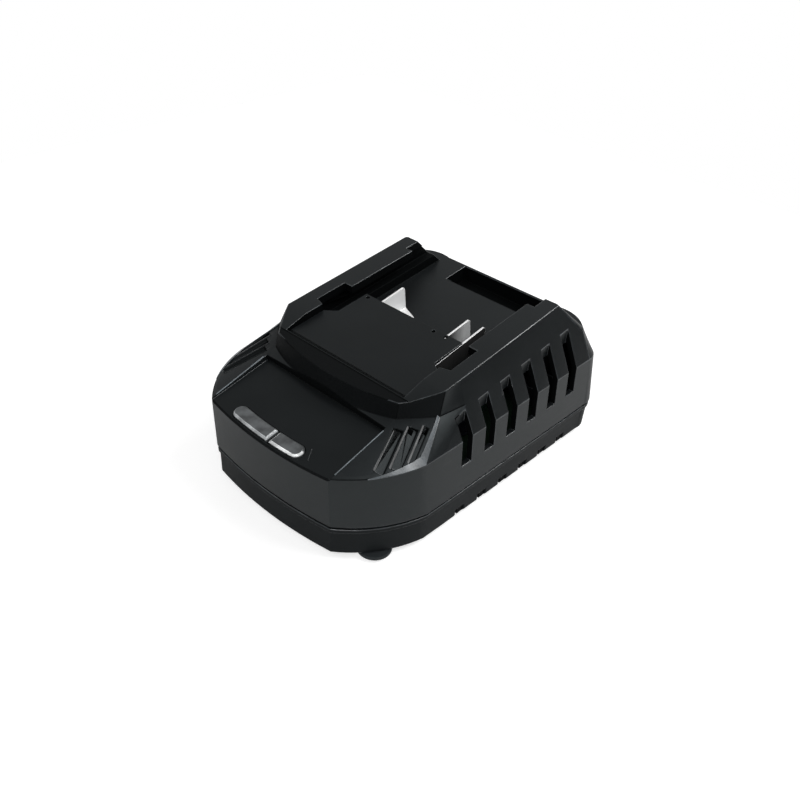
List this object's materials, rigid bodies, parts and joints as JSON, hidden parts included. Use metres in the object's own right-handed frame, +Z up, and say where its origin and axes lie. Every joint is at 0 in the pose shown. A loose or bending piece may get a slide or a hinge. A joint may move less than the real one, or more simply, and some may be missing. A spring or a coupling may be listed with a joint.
{
  "type": "power tool battery charger",
  "caption": "Bench charger for slide-in power tool batteries: railed dock with contact tower and blades, front indicator lenses, vented sides, split housing on rubber feet.",
  "frame": {"origin": "under the middle of the charger, on the plane that the rubber feet stand on", "axes": "+Z up, -Y towards the indicator lenses at the front, +Y along the rails towards the cord inlet, X across the rails"},
  "size_m": [0.1088, 0.1431, 0.0638],
  "materials": {
    "upper_housing": "satin moulded black with a fine grain",
    "lower_housing": "satin moulded black with a fine grain",
    "terminal_tower": "satin moulded black",
    "terminal_blade_left": "bright nickel-plated",
    "terminal_blade_middle": "bright nickel-plated",
    "terminal_blade_right": "bright nickel-plated",
    "status_lens_long": "frosted translucent",
    "status_lens_short": "frosted translucent",
    "status_lamps": "clear diffused resin",
    "lamp_board": "green glass-fibre board",
    "lamp_board_screws": "zinc plated",
    "cord_gland": "matt black",
    "case_screws": "zinc plated",
    "rubber_feet": "matt black",
    "main_board": "green glass-fibre board",
    "board_screws": "zinc plated",
    "transformer_core": "dark grey ferrite",
    "transformer_winding": "yellow tape over the winding",
    "bulk_capacitor": "dark blue sleeve",
    "output_capacitors": "black sleeve",
    "primary_heat_sink": "extruded, satin",
    "secondary_heat_sink": "extruded, satin",
    "switching_transistor": "black moulded package",
    "rectifier_diode": "black moulded package",
    "mains_choke": "green coated ring",
    "suppression_capacitor": "yellow box",
    "mains_fuse": "clear tube with metal caps",
    "surge_disc": "blue coating",
    "control_chip": "black moulded package",
    "opto_coupler": "white moulded package",
    "mains_header": "ivory plastic",
    "output_leads": "red and black insulation"
  },
  "bodies": {
    "root": {"upper_housing": "upper_housing", "lower_housing": "lower_housing", "terminal_tower": "terminal_tower", "terminal_blade_left": "terminal_blade_left", "terminal_blade_middle": "terminal_blade_middle", "terminal_blade_right": "terminal_blade_right", "status_lens_long": "status_lens_long", "status_lens_short": "status_lens_short", "status_lamps": "status_lamps", "lamp_board": "lamp_board", "lamp_board_screws": "lamp_board_screws", "cord_gland": "cord_gland", "case_screws": "case_screws", "rubber_feet": "rubber_feet", "main_board": "main_board", "board_screws": "board_screws", "transformer_core": "transformer_core", "transformer_winding": "transformer_winding", "bulk_capacitor": "bulk_capacitor", "output_capacitors": "output_capacitors", "primary_heat_sink": "primary_heat_sink", "secondary_heat_sink": "secondary_heat_sink", "switching_transistor": "switching_transistor", "rectifier_diode": "rectifier_diode", "mains_choke": "mains_choke", "suppression_capacitor": "suppression_capacitor", "mains_fuse": "mains_fuse", "surge_disc": "surge_disc", "control_chip": "control_chip", "opto_coupler": "opto_coupler", "mains_header": "mains_header", "output_leads": "output_leads"}
  },
  "joints": []
}
